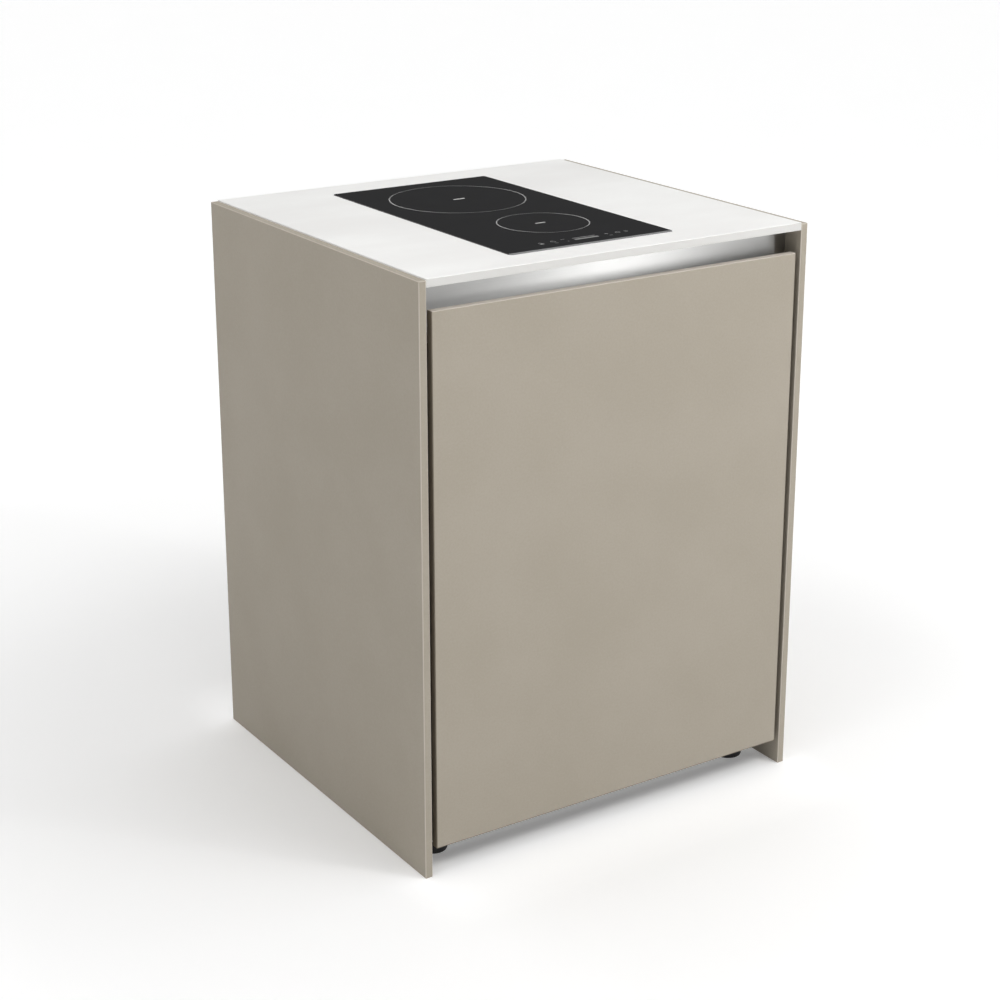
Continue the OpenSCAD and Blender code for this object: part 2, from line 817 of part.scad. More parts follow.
// Spring clips that draw the casing down against the worktop's underside
module hob_clamps() {
  x = tray_w / 2;
  reach = tray_play + clamp_reach;
  color(steel) for (side = [-1, 1], y = clamp_y) at_hob([0, y]) on_side(side)
    translate([x, 0, top_z]) along_y(-clamp_w / 2, clamp_w / 2)
      polygon([[0, -clamp_leg], [clamp_t, -clamp_leg], [clamp_t, -clamp_t], [reach, -clamp_t],
        [reach, 0], [0, 0]]);
}
module coil_plate() {
  color([0.8, 0.81, 0.82]) at_hob() block([-plate_w / 2, plate_y[0], plate_z],
    [plate_w / 2, plate_y[1], plate_z + plate_t]);
}
// Round posts on the casing's floor: four under the coil plate, four under the board
module tray_posts() {
  color(steel) at_hob() {
    for (x = [-1, 1], y = [plate_y[0] + post_in, plate_y[1] - post_in])
      translate([x * (plate_w / 2 - post_in), y, tray_in])
        cylinder(r = post_r, h = plate_z - tray_in);
    for (x = [-1, 1], y = [board_y[0] + post_in, board_y[1] - post_in])
      translate([x * (board_w / 2 - post_in), y, tray_in])
        cylinder(r = standoff_r, h = board_z - tray_in);
  }
}
module coil_carriers() {
  z = plate_z + plate_t + ferrite_h;
  color([0.75, 0.75, 0.7]) for (c = zones) at_hob(c[0])
    along_z(z, z + carrier_h) difference() {
      circle(c[1] + carrier_rim);
      circle(sensor_r + 1);
    }
}
module ferrite_bars() {
  bars = 6;
  color([0.2, 0.2, 0.22]) for (c = zones, k = [0:bars - 1]) at_hob(c[0])
    rotate(k * 360 / bars) block([0.35 * c[1], -ferrite_w / 2, plate_z + plate_t],
      [0.95 * c[1], ferrite_w / 2, plate_z + plate_t + ferrite_h]);
}
// A flat winding: rings of litz wire, side by side
module coil(c) {
  z = plate_z + plate_t + ferrite_h + carrier_h;
  inner = coil_eye * c[1];
  turns = floor((c[1] - inner) / coil_h);
  color([0.72, 0.42, 0.25]) at_hob(c[0]) rotate_extrude() {
    translate([inner, z]) square([turns * coil_h, coil_h / 2]);
    for (k = [0:turns - 1]) translate([inner + (k + 0.5) * coil_h, z + coil_h / 2])
      circle(coil_h / 2);
  }
}
module temperature_sensors() {
  color([0.9, 0.9, 0.88]) for (c = zones) at_hob(c[0]) translate([0, 0, plate_z + plate_t])
    cylinder(r = sensor_r, h = glass_z - plate_z - plate_t);
}
module power_board() {
  color([0.1, 0.35, 0.18]) at_hob() block([-board_w / 2, board_y[0], board_z],
    [board_w / 2, board_y[1], board_z + pcb_t]);
}
// Filter capacitors, a choke and two relays
module board_components() {
  z = board_z + pcb_t;
  color([0.15, 0.2, 0.45]) at_hob() {
    for (k = [0:2]) translate([0.3 * board_w, board_y[0] + parts_in + k * cap_pitch, z])
      cylinder(r = cap_r, h = cap_h);
    for (k = [0:1]) translate([-0.42 * board_w, board_y[0] + parts_in + k * relay_pitch, z])
      cube(relay);
    translate([0.3 * board_w, board_y[1] - choke_in, z]) difference() {
      cylinder(r = choke_r, h = choke_h);
      translate([0, 0, -1]) cylinder(r = choke_eye, h = choke_h + 2);
    }
  }
}
// Finned extrusion that cools the power transistors
module heat_sink() {
  z = board_z + pcb_t;
  step = (sink_w - fin_t) / (fin_count - 1);
  color([0.78, 0.79, 0.8]) at_hob() along_y(sink_y[0], sink_y[1]) {
    translate([-sink_w / 2, z]) square([sink_w, sink_base]);
    for (k = [0:fin_count - 1]) translate([-sink_w / 2 + k * step, z])
      square([fin_t, sink_top - z]);
  }
}

// Fan: a scroll with its inlet in the floor, a lid that carries the motor, and a
// ring of curved blades on a cup that turns round the motor
module scroll(r) {
  circle(r);
  translate([0, -scroll_l]) square([r, scroll_l]);
}
module fan_housing() {
  color(plastic) at_hob(fan_at) {
    along_z(tray_in, tray_in + fan_plate) difference() {
      scroll(scroll_r);
      circle(inlet_r);
    }
    along_z(tray_in + fan_plate, fan_top) difference() {
      scroll(scroll_r);
      translate([0, -1]) scroll(scroll_r - fan_wall);
      circle(scroll_r - fan_wall);
    }
  }
}
module fan_cover() {
  color(plastic) at_hob(fan_at) along_z(fan_top, fan_top + fan_plate) scroll(scroll_r);
}
module fan_motor() {
  color(steel) at_hob(fan_at) difference() {
    translate([0, 0, tray_in + motor_up]) cylinder(r = motor_r, h = fan_top - tray_in - motor_up);
    translate([0, 0, tray_in + motor_up - 1])
      cylinder(r = shaft_r + shaft_play, h = fan_top - tray_in - motor_up - shaft_end);
  }
}
module fan_impeller() {
  z0 = tray_in + fan_plate + fan_lift;
  cup_z = z0 + cup_up;
  disc_z = fan_top - hub_gap;
  cup_r = motor_r + cup_play;
  color([0.2, 0.2, 0.2]) at_hob(fan_at) {
    rotate_extrude() {
      translate([0, cup_z]) square([cup_r + cup_t, cup_t]);
      translate([cup_r, cup_z]) square([cup_t, disc_z + cup_t - cup_z]);
      translate([cup_r, disc_z]) square([fan_r - cup_r, cup_t]);
      translate([fan_r - fan_rim_w, z0]) square([fan_rim_w, fan_rim_h]);
      translate([0, cup_z]) square([shaft_r, disc_z - cup_z]);
    }
    for (k = [0:blade_count - 1]) rotate(k * 360 / blade_count) along_z(z0, disc_z + cup_t)
      arc_strip([fan_r - 5, 1 - blade_arc_r], blade_arc_r, blade_t, 35, 105);
  }
}

module touch_board() {
  color([0.1, 0.35, 0.18]) at_hob([0, touch_y])
    block([-touch_w / 2, -touch_d / 2, glass_z - touch_gap - pcb_t],
      [touch_w / 2, touch_d / 2, glass_z - touch_gap]);
}
// Plastic frame that holds the touch board up against the glass
module touch_frame() {
  z = glass_z - touch_gap - pcb_t;
  color(plastic) at_hob([0, touch_y]) {
    difference() {
      block([-touch_w / 2, touch_rest - touch_d / 2, z - touch_frame_h],
        [touch_w / 2, touch_d / 2 - touch_rest, z]);
      block([touch_rest - touch_w / 2, 2 * touch_rest - touch_d / 2, z - touch_frame_h + 2],
        [touch_w / 2 - touch_rest, touch_d / 2 - 2 * touch_rest, z + 1]);
    }
    for (x = [-1, 1]) translate([x * (touch_w / 2 - 2 * touch_rest), 0, tray_in])
      cylinder(r = post_r, h = z - touch_frame_h + 1 - tray_in);
  }
}
module terminal_block() {
  color([0.92, 0.92, 0.9]) at_hob(block_at) difference() {
    block([-block_w / 2, -block_d / 2, tray_in], [block_w / 2, block_d / 2, tray_in + block_d]);
    for (k = [-2:2]) translate([k * wire_pitch, 0, tray_in + block_d - terminal_deep])
      cylinder(r = terminal_r, h = terminal_deep + 1);
    for (k = [-2:2]) translate([k * wire_pitch, 0, tray_in + wire_up]) rotate([90, 0, 0])
      cylinder(r = wire_r, h = block_d + 2, center = true);
  }
}
// Gland in the casing's floor: a hexagon under it, a nut above it
module cable_gland() {
  color(plastic) at_hob(gland_at) difference() {
    union() {
      along_z(tray_z - gland_l, tray_z) circle(gland_nut_r, $fn = 6);
      along_z(tray_z, tray_in) circle(gland_r);
      along_z(tray_in, tray_in + gland_nut_h) circle(gland_nut_r, $fn = 6);
    }
    along_z(tray_z - gland_l - 1, tray_in + gland_nut_h + 1) circle(gland_bore);
  }
}

side_panel(-1);  // side_panel_left
side_panel(1);  // side_panel_right
worktop();
back_panel();
finger_channel();
carcass_side(-1);  // carcass_side_left
carcass_side(1);  // carcass_side_right
carcass_floor();
front_rail();
rear_rail();
hob_shield();
shield_cleats();
worktop_brackets();
bracket_screws();
carcass_screws();
panel_screws();
cable_grommet();
foot_sockets();
foot(-1, -1);  // foot_front_left
foot(1, -1);  // foot_front_right
foot(-1, 1);  // foot_rear_left
foot(1, 1);  // foot_rear_right
hob_glass();
hob_seal();
hob_tray();
hob_clamps();
coil_plate();
tray_posts();
coil_carriers();
ferrite_bars();
coil(zones[0]);  // coil_rear
coil(zones[1]);  // coil_front
temperature_sensors();
power_board();
board_components();
heat_sink();
fan_housing();
fan_cover();
fan_motor();
fan_impeller();
touch_board();
touch_frame();
terminal_block();
cable_gland();
front_panel();
front_screws();
box_walls(lower_z, lower_h);  // lower_box_walls
box_base(lower_z);  // lower_box_base
box_walls(upper_z, upper_h);  // upper_box_walls
box_base(upper_z);  // upper_box_base
runner_outers(runner_z[0]);  // lower_runner_outers
runner_outers(runner_z[1]);  // upper_runner_outers
runner_middles(runner_z[0]);  // lower_runner_middles
runner_middles(runner_z[1]);  // upper_runner_middles
runner_inners(runner_z[0]);  // lower_runner_inners
runner_inners(runner_z[1]);  // upper_runner_inners
ball_cages(row1_u, row1_w) outer_cage_profile();  // outer_ball_cages
ball_cages(row2_u, row2_w) inner_cage_profile();  // inner_ball_cages
runner_screws_cabinet();
runner_screws_box();
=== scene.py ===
import math

import bmesh
import bpy
from mathutils import Matrix, Vector


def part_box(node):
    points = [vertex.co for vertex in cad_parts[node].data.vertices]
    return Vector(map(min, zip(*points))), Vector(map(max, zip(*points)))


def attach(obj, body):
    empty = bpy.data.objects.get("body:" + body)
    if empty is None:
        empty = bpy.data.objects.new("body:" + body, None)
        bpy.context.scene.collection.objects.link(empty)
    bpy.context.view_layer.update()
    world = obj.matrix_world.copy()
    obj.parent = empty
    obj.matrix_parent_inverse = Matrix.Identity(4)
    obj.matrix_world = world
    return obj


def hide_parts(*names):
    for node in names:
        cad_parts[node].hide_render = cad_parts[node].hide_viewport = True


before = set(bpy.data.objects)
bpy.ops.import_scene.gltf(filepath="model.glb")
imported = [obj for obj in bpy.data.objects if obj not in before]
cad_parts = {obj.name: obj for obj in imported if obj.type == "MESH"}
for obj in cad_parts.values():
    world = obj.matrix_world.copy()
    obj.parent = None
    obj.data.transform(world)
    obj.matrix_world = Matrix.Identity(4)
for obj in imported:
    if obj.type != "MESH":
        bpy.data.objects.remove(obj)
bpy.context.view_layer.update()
bpy.ops.object.select_all(action="DESELECT")
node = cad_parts

# The camera stands where the photograph was taken from, to the left of the unit's
# front and a little above its worktop. Its lens is shifted down, as one does to keep
# upright edges nearly parallel.
CAMERA_PLACE = Vector((-1.70092, -2.59198, 1.54185))
CAMERA_AZIMUTH = math.radians(-33.2105)
CAMERA_ELEVATION = math.radians(17.5464)
back = Vector((math.sin(CAMERA_AZIMUTH) * math.cos(CAMERA_ELEVATION),
               -math.cos(CAMERA_AZIMUTH) * math.cos(CAMERA_ELEVATION),
               math.sin(CAMERA_ELEVATION)))
camera = bpy.data.objects.new("camera", bpy.data.cameras.new("camera"))
camera.data.lens = 73.50
camera.data.shift_y = -0.08
camera.data.sensor_width = 36.0
camera.location = CAMERA_PLACE
camera.rotation_mode = "QUATERNION"
camera.rotation_quaternion = (-back).to_track_quat("-Z", "Y")
bpy.context.scene.collection.objects.link(camera)
bpy.context.scene.camera = camera
bpy.context.scene.view_settings.view_transform = "Standard"

# The room is a studio with a bright cove round a dark ceiling. Below the cove it is dim,
# which the glass mirrors. The ramp runs over the sine of a direction's height. Beyond the
# floor's end the camera itself sees a white backdrop.
COVE_STRENGTH = 3.2
LEVELS = ((0.0, 0.014), (0.66, 0.020), (0.70, 1.0), (0.84, 1.0), (0.88, 0.0))
world = bpy.data.worlds.new("studio")
bpy.context.scene.world = world
world.use_nodes = True
sky = world.node_tree
height = sky.nodes.new("ShaderNodeSeparateXYZ")
ramp = sky.nodes.new("ShaderNodeValToRGB")
direction = sky.nodes.new("ShaderNodeTexCoord")
sky.links.new(direction.outputs["Generated"], height.inputs[0])
sky.links.new(height.outputs["Z"], ramp.inputs[0])
rays = sky.nodes.new("ShaderNodeLightPath")
seen = sky.nodes.new("ShaderNodeMix")
seen.data_type = "RGBA"
seen.inputs[7].default_value = (1 / COVE_STRENGTH, 1 / COVE_STRENGTH, 1 / COVE_STRENGTH, 1)
sky.links.new(rays.outputs["Is Camera Ray"], seen.inputs[0])
sky.links.new(ramp.outputs[0], seen.inputs[6])
sky.links.new(seen.outputs[2], sky.nodes["Background"].inputs["Color"])
marks = ramp.color_ramp.elements
while len(marks) < len(LEVELS):
    marks.new(1.0)
for mark, (place, level) in zip(marks, LEVELS):
    mark.position = place
    mark.color = (level, level, level, 1)
sky.nodes["Background"].inputs["Strength"].default_value = COVE_STRENGTH


def soft_box(name, place, target, width, height, power):
    """A rectangular lamp at a place that shines on a target, in metres and watts."""
    lamp = bpy.data.objects.new(name, bpy.data.lights.new(name, "AREA"))
    lamp.data.shape = "RECTANGLE"
    lamp.data.size = width
    lamp.data.size_y = height
    lamp.data.energy = power
    lamp.location = place
    aim = Vector(target) - Vector(place)
    lamp.rotation_mode = "QUATERNION"
    lamp.rotation_quaternion = aim.to_track_quat("-Z", "Y")
    bpy.context.scene.collection.objects.link(lamp)


# A broad lamp above the front, a weak one at the left, and a narrow one that stands where
# the steel of the finger channel mirrors it to the camera.
soft_box("front_lamp", (0.9, -1.8, 2.2), (0.0, -0.3, 0.8), 1.3, 1.0, 14)
soft_box("left_lamp", (-1.5, -0.6, 2.0), (-0.3, 0.0, 0.8), 0.7, 0.7, 3)
soft_box("strip_lamp", (1.97, -3.02, 1.35), (0.0, -0.28, 0.86), 0.28, 2.6, 22)


# The finishes are built from nodes. A wire is one socket, and sums of wires add the
# nodes that work them out; a finish is one material round one Principled shader.
class Wire:
    def __init__(self, finish, socket):
        self.finish = finish
        self.socket = socket

    def _math(self, operation, *values):
        return self.finish.node("ShaderNodeMath", {"operation": operation}, values)

    def __add__(self, other):
        return self._math("ADD", self, other)

    def __sub__(self, other):
        return self._math("SUBTRACT", self, other)

    def __rsub__(self, other):
        return self._math("SUBTRACT", other, self)

    def __mul__(self, other):
        return self._math("MULTIPLY", self, other)

    def __truediv__(self, other):
        return self._math("DIVIDE", self, other)

    def __pow__(self, other):
        return self._math("POWER", self, other)

    def __mod__(self, other):
        return self._math("FLOORED_MODULO", self, other)

    def __or__(self, other):
        return self._math("MAXIMUM", self, other)

    def __and__(self, other):
        return self._math("MINIMUM", self, other)

    def __abs__(self):
        return self._math("ABSOLUTE", self)

    __radd__ = __add__
    __rmul__ = __mul__

    def smooth(self, low, high):
        """0 below low, 1 above high, and a soft step between them; low may be the higher one."""
        return self.finish.node("ShaderNodeMapRange", {"interpolation_type": "SMOOTHSTEP"},
                                {"Value": self, "From Min": low, "From Max": high})


class Finish:
    def __init__(self, name, constants):
        self.material = bpy.data.materials.new(name)
        self.material.use_nodes = True
        self.tree = self.material.node_tree
        self.shader = self.tree.nodes["Principled BSDF"]
        for socket, value in constants.items():
            self.shader.inputs[socket].default_value = value

    def node(self, kind, settings=None, values=None, out=0):
        """Adds a node, gives it its settings, then its values or links, and returns an output."""
        made = self.tree.nodes.new(kind)
        for name, value in (settings or {}).items():
            setattr(made, name, value)
        pairs = values.items() if isinstance(values, dict) else enumerate(values or ())
        for key, value in pairs:
            if isinstance(value, Wire):
                self.tree.links.new(value.socket, made.inputs[key])
            else:
                made.inputs[key].default_value = value
        return Wire(self, made.outputs[out])

    def place(self, stretch=(1, 1, 1), centre=(0, 0, 0)):
        """The point on the object in metres, moved so that centre is its origin, then stretched."""
        point = self.node("ShaderNodeTexCoord", out="Object")
        moved = self.node("ShaderNodeVectorMath", {"operation": "SUBTRACT"}, [point, centre])
        return self.node("ShaderNodeVectorMath", {"operation": "MULTIPLY"}, [moved, stretch])

    def axes(self, vector):
        return [self.node("ShaderNodeSeparateXYZ", None, [vector], out) for out in "XYZ"]

    def noise(self, vector, scale, detail=2.0, rough=0.5):
        return self.node("ShaderNodeTexNoise", None, {
            "Vector": vector, "Scale": scale, "Detail": detail, "Roughness": rough}, "Fac")

    def mix(self, share, low, high):
        """A colour between low and high."""
        return self.node("ShaderNodeMix", {"data_type": "RGBA"}, {0: share, 6: low, 7: high}, 2)

    def feed(self, socket, wire):
        self.tree.links.new(wire.socket, self.shader.inputs[socket])

    def emboss(self, height, depth, strength=1.0):
        """Makes the surface look raised by height times depth, in metres."""
        bump = self.node("ShaderNodeBump", None, {
            "Height": height, "Distance": depth, "Strength": strength}, "Normal")
        self.feed("Normal", bump)

    def on(self, *objects):
        for thing in objects:
            thing.data.materials.clear()
            thing.data.materials.append(self.material)


def rgb(red, green, blue):
    """A colour as it is seen on a screen, from 0 to 255, in the shader's own scale."""
    linear = [((c / 255 + 0.055) / 1.055) ** 2.4 if c > 10 else c / 3294.6
              for c in (red, green, blue)]
    return (*linear, 1.0)


# The floor is a pale seamless sheet, wide enough to fill the view from any side. It carries painted
# light: it glows, most under the unit, a little in front of it and far from it, which lightens the
# unit's shadows and the far floor.
FLOOR_SIZE = 60.0
PAINTED_UNDER_LIGHT, PAINTED_FRINGE_LIGHT, PAINTED_FAR_LIGHT = 0.48, 0.14, 0.12
_, (panel_out, panel_deep, _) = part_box("side_panel_right")
bpy.ops.mesh.primitive_plane_add(size=FLOOR_SIZE)
floor = bpy.context.object
floor.name = "studio_floor"
paper = Finish("floor_paper", {"Roughness": 0.9, "Specular IOR Level": 0.1})
grain = paper.noise(paper.place(), 3.0)
paper.feed("Base Color", paper.mix(grain, rgb(250, 250, 250), rgb(253, 253, 253)))
away = paper.node("ShaderNodeVectorMath", {"operation": "LENGTH"}, [paper.place()], "Value")
across, deep = [abs(along) for along in paper.axes(paper.place())[:2]]
aside, ahead = across - panel_out, deep - panel_deep
# Painted light: the floor glows under the unit and just in front of it, lightening the shadow
# there, and far from it.
under = aside.smooth(0.0, -0.010) * ahead.smooth(-0.008, -0.118)
painted_fringe_mask = aside.smooth(0.078, -0.042) * ahead.smooth(-0.078, 0.012) * ahead.smooth(0.182, 0.012)
painted_floor_light = under * PAINTED_UNDER_LIGHT + painted_fringe_mask * PAINTED_FRINGE_LIGHT + away.smooth(0.7, 2.2) * PAINTED_FAR_LIGHT
paper.feed("Emission Color", paper.mix(painted_floor_light, (0, 0, 0, 1), (1, 1, 1, 1)))
paper.shader.inputs["Emission Strength"].default_value = 1.0
paper.on(floor)

# Cabinet: two sides, a floor and two rails of chipboard behind the finished panels, and
# the cleats that carry the shield. They are faced with graphite melamine, which has a fine
# pearl grain, and screwed together.
melamine = Finish("graphite_melamine", {"Roughness": 0.5})
fleck = melamine.noise(melamine.place(), 600.0, 3.0, 0.6)
melamine.feed("Base Color", melamine.mix(fleck.smooth(0.4, 0.6), rgb(44, 42, 40), rgb(56, 54, 51)))
melamine.emboss(fleck, 0.00005, 0.6)
melamine.on(node["carcass_side_left"], node["carcass_side_right"], node["carcass_floor"],
            node["front_rail"], node["rear_rail"], node["shield_cleats"])

# Small steel: the worktop's angles, the hob's casing, clips and posts, its fan's motor, and
# the runners with their balls and cages. All of it is zinc-plated and shows faint spangle.
zinc = Finish("zinc_plate", {"Metallic": 1.0})
spangle = zinc.noise(zinc.place(), 180.0, 3.0, 0.6)
drawn = zinc.noise(zinc.place((400, 4, 400)), 1.0, 2.0, 0.6)
zinc.feed("Base Color", zinc.mix(spangle, rgb(176, 178, 180), rgb(204, 205, 206)))
zinc.feed("Roughness", 0.28 + drawn * 0.2)
zinc.on(*[node[name] for name in (
    "worktop_brackets", "hob_tray", "hob_clamps", "tray_posts", "fan_motor",
    "lower_runner_outers", "upper_runner_outers", "lower_runner_middles",
    "upper_runner_middles", "lower_runner_inners", "upper_runner_inners",
    "outer_ball_cages", "inner_ball_cages")])

# Black mouldings: the foot sockets, the cable outlet's liner, the hob's fan, touch frame
# and gland, and the rubber seal under its glass. Their surface is finely textured and matt.
moulding = Finish("black_moulding", {"Roughness": 0.5})
texture = moulding.noise(moulding.place(), 1500.0, 2.0, 0.5)
moulding.feed("Base Color", moulding.mix(texture, rgb(22, 22, 22), rgb(34, 34, 34)))
moulding.emboss(texture, 0.00005, 0.6)
moulding.on(*[node[name] for name in (
    "cable_grommet", "foot_sockets", "fan_housing", "fan_cover", "fan_impeller",
    "touch_frame", "cable_gland", "hob_seal")])

# Screws: zinc-plated, with a cross recess. Pan heads hold the side panels, the worktop
# brackets and the front, and flat heads lie let into the boards and the runners.
SHANK_R, HEAD_R, PAN_H, FLAT_H = 0.0021, 0.0044, 0.0026, 0.0020
FLAT_R = HEAD_R - 0.0006
RECESS_R, RECESS_DEPTH, RECESS_WIDTH = 0.0022, 0.0016, 0.0007
SCREW_STEPS = 20


def scratch_mesh(name):
    """A new object that holds one vertex at the origin, in edit mode."""
    bpy.ops.object.select_all(action="DESELECT")
    bpy.ops.mesh.primitive_plane_add(size=0.001)
    bpy.context.object.name = name
    bpy.ops.object.mode_set(mode="EDIT")
    bpy.ops.mesh.select_mode(type="VERT")
    bpy.ops.mesh.merge(type="CENTER")
    return bpy.context.object


def lathe(name, profile, steps):
    """Draws (radius, height) points by extruding a vertex, and spins them round Z."""
    turned = scratch_mesh(name)
    radius, level = profile[0]
    bpy.ops.transform.translate(value=(radius, 0, level))
    for (r0, z0), (r1, z1) in zip(profile, profile[1:]):
        bpy.ops.mesh.extrude_region_move(TRANSFORM_OT_translate={"value": (r1 - r0, 0, z1 - z0)})
    bpy.ops.mesh.select_all(action="SELECT")
    bpy.ops.mesh.spin(steps=steps, angle=2 * math.pi, center=(0, 0, 0), axis=(0, 0, 1))
    bpy.ops.mesh.select_all(action="SELECT")
    bpy.ops.mesh.remove_doubles(threshold=0.00001)
    bpy.ops.mesh.normals_make_consistent(inside=False)
    bpy.ops.object.mode_set(mode="OBJECT")
    bpy.ops.object.transform_apply()
    return turned


def block(name, low, high):
    """A box between two corners, with its place in its mesh."""
    bpy.ops.object.select_all(action="DESELECT")
    bpy.ops.mesh.primitive_cube_add(size=1, location=[(a + b) / 2 for a, b in zip(low, high)])
    piece = bpy.context.object
    piece.name = name
    piece.scale = [b - a for a, b in zip(low, high)]
    bpy.ops.object.transform_apply()
    return piece


def finish_with(piece, kind, **settings):
    """Adds a modifier to a piece and applies it."""
    bpy.context.view_layer.objects.active = piece
    modifier = piece.modifiers.new(kind.lower(), kind)
    for name, value in settings.items():
        setattr(modifier, name, value)
    bpy.ops.object.modifier_apply(modifier=modifier.name)


def carve(piece, cutter):
    """Cuts one object out of another and removes it."""
    finish_with(piece, "BOOLEAN", operation="DIFFERENCE", object=cutter, solver="EXACT")
    bpy.data.objects.remove(cutter)


def joined(name, pieces):
    """Several objects as one."""
    bpy.ops.object.select_all(action="DESELECT")
    for piece in pieces:
        piece.select_set(True)
    bpy.context.view_layer.objects.active = pieces[0]
    bpy.ops.object.join()
    whole = bpy.context.object
    whole.name = name
    return whole


def copied(piece, matrix):
    """A copy with its own mesh, moved there by a matrix."""
    twin = piece.copy()
    twin.data = piece.data.copy()
    twin.data.transform(matrix)
    bpy.context.scene.collection.objects.link(twin)
    return twin


def smooth_faces(piece, degrees=35):
    """Shades a piece smooth, apart from edges that are sharper than an angle."""
    bpy.ops.object.select_all(action="DESELECT")
    piece.select_set(True)
    bpy.context.view_layer.objects.active = piece
    bpy.ops.object.shade_smooth_by_angle(angle=math.radians(degrees))


def solids_of(name):
    """The points of each separate solid of a CAD node."""
    shell = bmesh.new()
    shell.from_mesh(node[name].data)
    bmesh.ops.remove_doubles(shell, verts=shell.verts, dist=0.00001)
    left, solids = set(shell.verts), []
    while left:
        queue, island = [left.pop()], []
        while queue:
            point = queue.pop()
            island.append(point.co.copy())
            for edge in point.link_edges:
                other = edge.other_vert(point)
                if other in left:
                    left.remove(other)
                    queue.append(other)
        solids.append(island)
    shell.free()
    return sorted(solids, key=lambda island: min(tuple(point) for point in island))


def screw(length, flat):
    """A screw along Z whose head's seat is at the origin and whose shank goes down."""
    shank = [(SHANK_R, -length + SHANK_R), (0.0, -length)]
    if flat:
        rim = [(0.0, 0.0), (FLAT_R, 0.0), (SHANK_R, -FLAT_H)]
        top = 0.0
    else:
        rim = [(0.0, PAN_H), (HEAD_R * 0.55, PAN_H * 0.97), (HEAD_R * 0.85, PAN_H * 0.75),
               (HEAD_R, PAN_H * 0.35), (HEAD_R, 0.0), (SHANK_R, 0.0)]
        top = PAN_H
    made = lathe("screw", rim + shank, SCREW_STEPS)
    for low, high in (((-RECESS_R, -RECESS_WIDTH / 2), (RECESS_R, RECESS_WIDTH / 2)),
                      ((-RECESS_WIDTH / 2, -RECESS_R), (RECESS_WIDTH / 2, RECESS_R))):
        carve(made, block("recess", (*low, top - RECESS_DEPTH), (*high, top + 0.001)))
    smooth_faces(made)
    return made


def screw_set(name, body, flat):
    """Puts a full screw where each plain one of a CAD node is."""
    template, screws = None, []
    for points in solids_of(name):
        low = Vector([min(p[k] for p in points) for k in range(3)])
        high = Vector([max(p[k] for p in points) for k in range(3)])
        size = high - low
        axis = max(range(3), key=lambda k: size[k])
        middle = (low + high) / 2
        across = [k for k in range(3) if k != axis]

        def width_at(end):
            near = [p for p in points if abs(p[axis] - end) < 0.0005]
            return max(math.hypot(*[p[k] - middle[k] for k in across]) for p in near)

        head_high = width_at(high[axis]) > width_at(low[axis])
        out = Vector([0, 0, 0])
        out[axis] = 1 if head_high else -1
        length = size[axis] - (0 if flat else PAN_H)
        if template is None:
            template = screw(length, flat)
        seat = middle.copy()
        seat[axis] = (high[axis] if head_high else low[axis]) - (0 if flat else PAN_H * out[axis])
        turn = out.to_track_quat("Z", "Y").to_matrix().to_4x4()
        screws.append(copied(template, Matrix.Translation(seat) @ turn))
    bpy.data.objects.remove(template)
    whole = joined(name + "_full", screws)
    zinc.on(whole)
    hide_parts(name)
    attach(whole, body)


screw_set("carcass_screws", "cabinet", True)
screw_set("panel_screws", "cabinet", False)
screw_set("bracket_screws", "cabinet", False)
screw_set("front_screws", "pull_out", False)
screw_set("runner_screws_cabinet", "cabinet", True)
screw_set("runner_screws_box", "pull_out", True)

# Feet: a ribbed moulded pad, with a threaded stud and a hexagon nut moulded into it.
# The nut takes a spanner under the cabinet. One foot is made and copied to the others.
PAD_R, PAD_TOP, PAD_RIB = 0.0230, 0.0140, 0.0004
STUD_R, STUD_TOP, THREAD, THREAD_DEPTH = 0.0050, 0.0460, 0.0015, 0.0008
NUT_R, NUT_TOP = 0.0090, PAD_TOP + 0.0035
SEAT, STUD_FOOT = PAD_TOP - 0.0008, PAD_TOP - 0.0030
PAD_STEPS, STUD_STEPS = 96, 24
pad = lathe("pad", [(0, 0.0006), (0.0150, 0.0006), (0.0160, 0), (0.0200, 0), (0.0221, 0.0009),
                    (PAD_R, 0.0030), (PAD_R, PAD_TOP - 0.001), (PAD_R - 0.001, PAD_TOP),
                    (0.0125, PAD_TOP), (0.0115, SEAT), (0, SEAT)], PAD_STEPS)
bpy.ops.object.mode_set(mode="EDIT")
bpy.ops.mesh.select_all(action="DESELECT")
bpy.ops.mesh.select_mode(type="FACE")
skin = bmesh.from_edit_mesh(pad.data)
for face in skin.faces:
    middle = face.calc_center_median()
    turn = math.atan2(middle.y, middle.x) / (2 * math.pi) * PAD_STEPS
    upright = abs(face.normal.z) < 0.1 and math.hypot(middle.x, middle.y) > PAD_R - 0.003
    face.select = upright and math.floor(turn) % 2 == 0
bmesh.update_edit_mesh(pad.data)
bpy.ops.mesh.inset(thickness=0.0002, depth=-PAD_RIB, use_individual=True)
bpy.ops.object.mode_set(mode="OBJECT")
smooth_faces(pad, 30)
moulding.on(pad)
turns = int((STUD_TOP - PAD_TOP - 0.001) / THREAD)
crests = [(STUD_R - (k % 2) * THREAD_DEPTH, SEAT + 0.001 + k * THREAD / 2)
          for k in range(2 * turns)]
stud = lathe("stud", [(0, STUD_FOOT), (STUD_R, STUD_FOOT), *crests,
                      (STUD_R - 0.001, STUD_TOP), (0, STUD_TOP)], STUD_STEPS)
bpy.ops.object.select_all(action="DESELECT")
bpy.ops.mesh.primitive_cylinder_add(vertices=6, radius=NUT_R, depth=NUT_TOP - SEAT, rotation=(
    0, 0, math.pi / 6), location=(0, 0, (SEAT + NUT_TOP) / 2))
nut = bpy.context.object
bpy.ops.object.transform_apply()
finish_with(nut, "BEVEL", width=0.0006, segments=2)
zinc.on(stud, nut)
smooth_faces(stud, 20)
